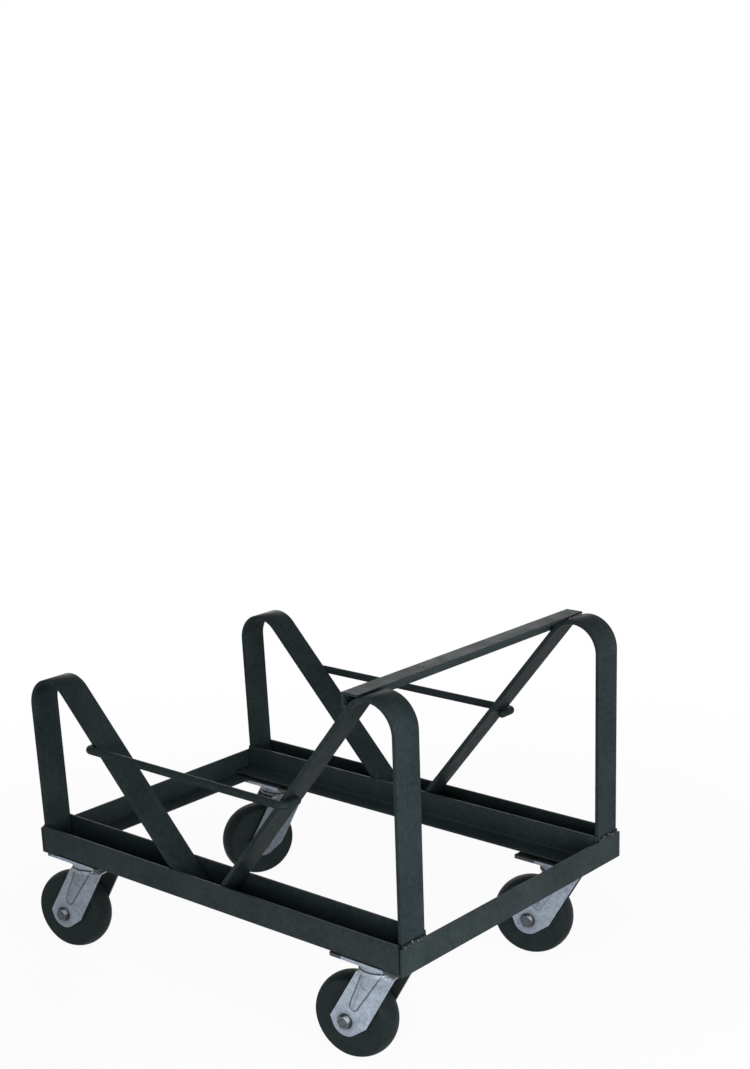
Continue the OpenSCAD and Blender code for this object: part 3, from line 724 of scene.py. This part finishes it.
welds = bmesh.new()
post_welds(welds)
top_rail_welds(welds)
rod_welds(welds)
plate_welds(welds)
strips = make_piece("weld_ripples", welds, BEAD_PAINT, "frame")
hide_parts("weld_beads")


# Floor, world, lamps and camera

WHITE, FLOOR_WHITE = rgb(1.0, 1.0, 1.0), rgb(0.9, 0.9, 0.9)
FLOOR_HALF = 60.0

# How much of the shadow is left out where the floor is seen, near the object and further away
SHADOW_FADE, SHADOW_LEFT_OUT = (0.35, 1.5), (0.94, 1.0)

# The sine of the heights in the sky between which its light falls off, and its levels there
SKY_FADE, SKY_LEVELS = (math.sin(math.radians(6.0)), math.sin(math.radians(13.0))), (1.0, 0.12)


def seen_rays(n):
    """1 for the rays that show a surface to the camera, straight or through gloss and glass."""
    rays = n.new("LightPath").outputs
    share = n.math("MAXIMUM", rays["Is Camera Ray"], rays["Is Glossy Ray"])
    return n.math("MAXIMUM", share, rays["Is Transmission Ray"])


def floor():
    """A wide white floor that shows a faint shadow near the object."""
    mat = bpy.data.materials.new("white_floor")
    n, surface = cleared(mat, "OutputMaterial")
    matt = n.new("BsdfDiffuse", Color=FLOOR_WHITE)
    glow = n.new("Emission", Color=WHITE, Strength=1.0)
    away = n.vector("LENGTH", n.place)["Value"]
    bare = n.span(away, *SHADOW_FADE, *SHADOW_LEFT_OUT, smooth=True)
    both = n.new("MixShader", Fac=n.times(seen_rays(n), bare))
    n.put(both.inputs[1], matt.outputs[0])
    n.put(both.inputs[2], glow.outputs[0])
    n.put(surface, both.outputs[0])
    bm = bmesh.new()
    bmesh.ops.create_grid(bm, x_segments=8, y_segments=8, size=FLOOR_HALF)
    obj = new_object("floor", bm, mat)


def world():
    """A studio that is white at the horizon and dim overhead, and white all over where it is seen."""
    studio = bpy.data.worlds.new("studio")
    n, surface = cleared(studio, "OutputWorld")
    height = n.parts(n.coords["Generated"])["Z"]
    level = n.span(height, *SKY_FADE, *SKY_LEVELS, smooth=True)
    back = n.new("Background", Color=WHITE, Strength=n.math("MAXIMUM", level, seen_rays(n)))
    n.put(surface, back.outputs[0])
    bpy.context.scene.world = studio


def lamp(name, place, target, size, watts):
    data = bpy.data.lights.new(name, "AREA")
    data.shape = "RECTANGLE"
    data.size, data.size_y = size
    data.energy = watts
    obj = bpy.data.objects.new(name, data)
    obj.location = place
    obj.rotation_mode = "QUATERNION"
    obj.rotation_quaternion = (Vector(target) - Vector(place)).to_track_quat("-Z", "Y")
    obj.visible_camera = False
    bpy.context.scene.collection.objects.link(obj)


floor()
world()
lamp("right_softbox", place=(2.1, -0.2, 0.4), target=(0.2, 0.0, 0.15), size=(1.4, 0.6), watts=29.0)
lamp("front_softbox", place=(1.0, -1.15, 0.4), target=(0.25, -0.2, 0.1), size=(0.8, 0.5), watts=12.0)
lamp("top_softbox", place=(0.5, -1.5, 2.8), target=(0.0, 0.0, 0.2), size=(2.2, 2.2), watts=20.0)
lamp("back_softbox", place=(-1.7, 1.8, 0.7), target=(0.0, 0.0, 0.2), size=(1.6, 0.8), watts=15.0)

# The camera that was fitted to the photograph: lens and sensor in millimetres, shift, axes and place
LENS, SENSOR, SHIFT_UP = 59.12, 36.0, 0.1394
CAMERA_RIGHT = Vector((0.757719, 0.651738, -0.033157))
CAMERA_UP = Vector((-0.165497, 0.241060, 0.956295))
CAMERA_BACK = Vector((0.631247, -0.719116, 0.290516))
CAMERA_PLACE = Vector((BASE_X + 1.5586, -1.6601, 1.0864))

camera_data = bpy.data.cameras.new("camera")
camera_data.lens = LENS
camera_data.sensor_width = SENSOR
camera_data.shift_y = SHIFT_UP
camera = bpy.data.objects.new("camera", camera_data)
camera.matrix_world = (
    Matrix.Translation(CAMERA_PLACE)
    @ Matrix((CAMERA_RIGHT, CAMERA_UP, CAMERA_BACK)).transposed().to_4x4()
)
bpy.context.scene.collection.objects.link(camera)
bpy.context.scene.camera = camera
bpy.context.scene.view_settings.view_transform = "Standard"
